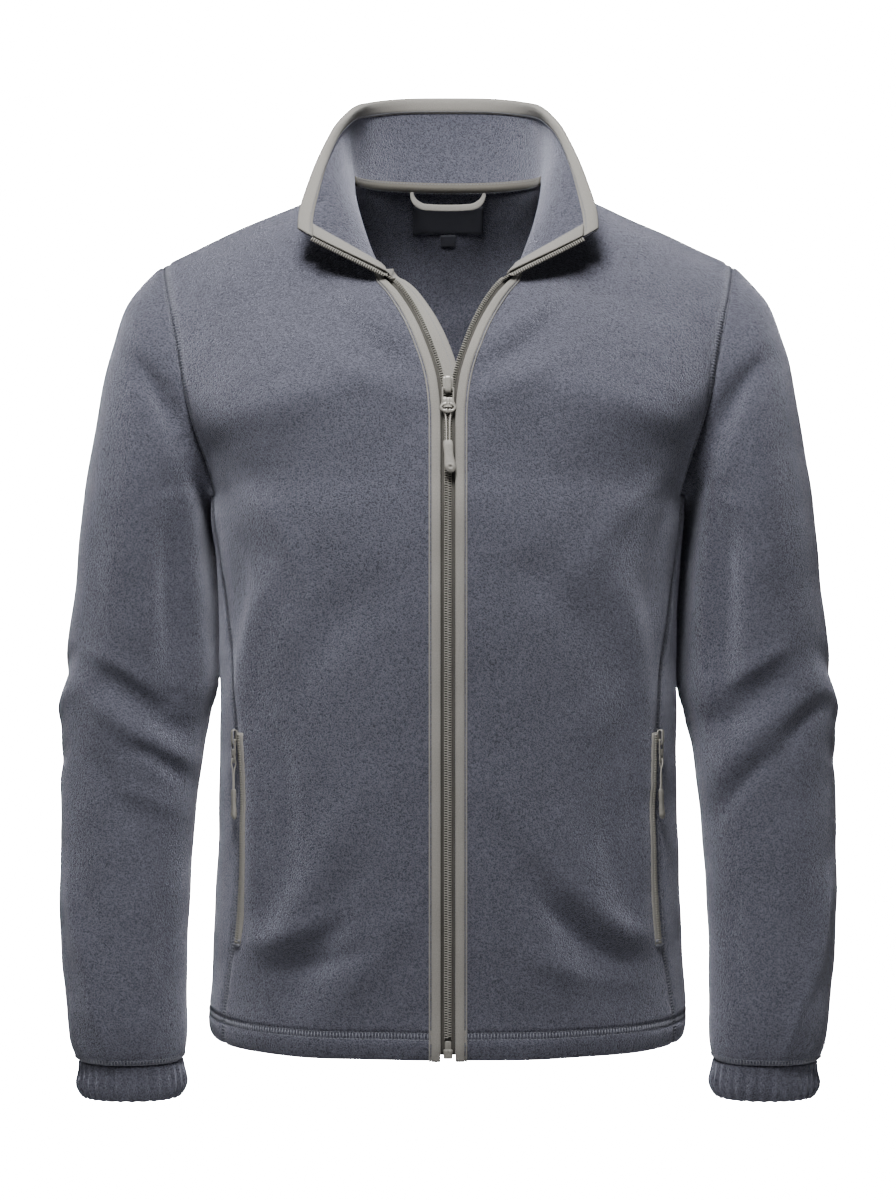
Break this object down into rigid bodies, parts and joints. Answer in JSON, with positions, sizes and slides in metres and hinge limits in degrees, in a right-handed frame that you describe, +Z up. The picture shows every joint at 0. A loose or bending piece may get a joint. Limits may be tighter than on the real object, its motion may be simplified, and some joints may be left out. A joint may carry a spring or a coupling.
{
  "type": "fleece jacket",
  "caption": "Fleece zip jacket, filled out as if worn, partly unzipped, with a turned-back collar, side zip pockets and gathered cuffs",
  "frame": {"origin": "mid-neck, level with the points where the shoulder seams meet the collar", "axes": "X to the wearer's left, -Y to the front, +Z up"},
  "size_m": [0.6208, 0.2761, 0.7988],
  "materials": {
    "fleece": "napped fleece, blue-grey, matt",
    "taupe_tape": "woven taupe tape, matt",
    "zip_coil": "moulded nylon coil, taupe",
    "zip_metal": "painted taupe metal, satin",
    "pull_cord": "braided taupe cord",
    "grip_rubber": "soft moulded grip, taupe",
    "label_cloth": "dark woven label, bare"
  },
  "bodies": {
    "jacket": {"back": "fleece", "collar": "fleece", "collar_binding": "taupe_tape", "collar_facing_left": "taupe_tape", "collar_facing_right": "taupe_tape", "cuff_left": "fleece", "cuff_right": "fleece", "front_left": "fleece", "front_right": "fleece", "hanger_loop": "taupe_tape", "label": "label_cloth", "neck_tape": "taupe_tape", "placket_left": "taupe_tape", "placket_right": "taupe_tape", "pocket_left_slider": "zip_metal", "pocket_right_slider": "zip_metal", "pocket_zip_left": "zip_coil", "pocket_zip_right": "zip_coil", "side_left": "fleece", "side_right": "fleece", "size_tab": "label_cloth", "sleeve_left": "fleece", "sleeve_right": "fleece", "zip_box": "zip_metal", "zip_coil_left": "zip_coil", "zip_coil_right": "zip_coil", "zip_guard_right": "taupe_tape", "zip_slider": "zip_metal", "zip_tape_left": "taupe_tape", "zip_tape_right": "taupe_tape"},
    "main_pull": {"zip_tab": "zip_metal", "zip_cord": "pull_cord", "zip_grip": "grip_rubber"},
    "pocket_pull_left": {"pocket_left_tab": "zip_metal", "pocket_left_cord": "pull_cord", "pocket_left_grip": "grip_rubber"},
    "pocket_pull_right": {"pocket_right_tab": "zip_metal", "pocket_right_cord": "pull_cord", "pocket_right_grip": "grip_rubber"}
  },
  "joints": [
    {"name": "main_pull_hinge", "type": "hinge", "parent": "jacket", "child": "main_pull", "pos_m": [0, -0.13083, -0.1674], "axis": [-1, 0, 0], "range_deg": [0, 150]},
    {"name": "pocket_pull_left_hinge", "type": "hinge", "parent": "jacket", "child": "pocket_pull_left", "pos_m": [0.16481, -0.08747, -0.4375], "axis": [-0.4328, -0.9015, 0], "range_deg": [0, 150]},
    {"name": "pocket_pull_right_hinge", "type": "hinge", "parent": "jacket", "child": "pocket_pull_right", "pos_m": [-0.16577, -0.08797, -0.43754], "axis": [-0.3963, 0.9181, 0], "range_deg": [0, 150]}
  ]
}
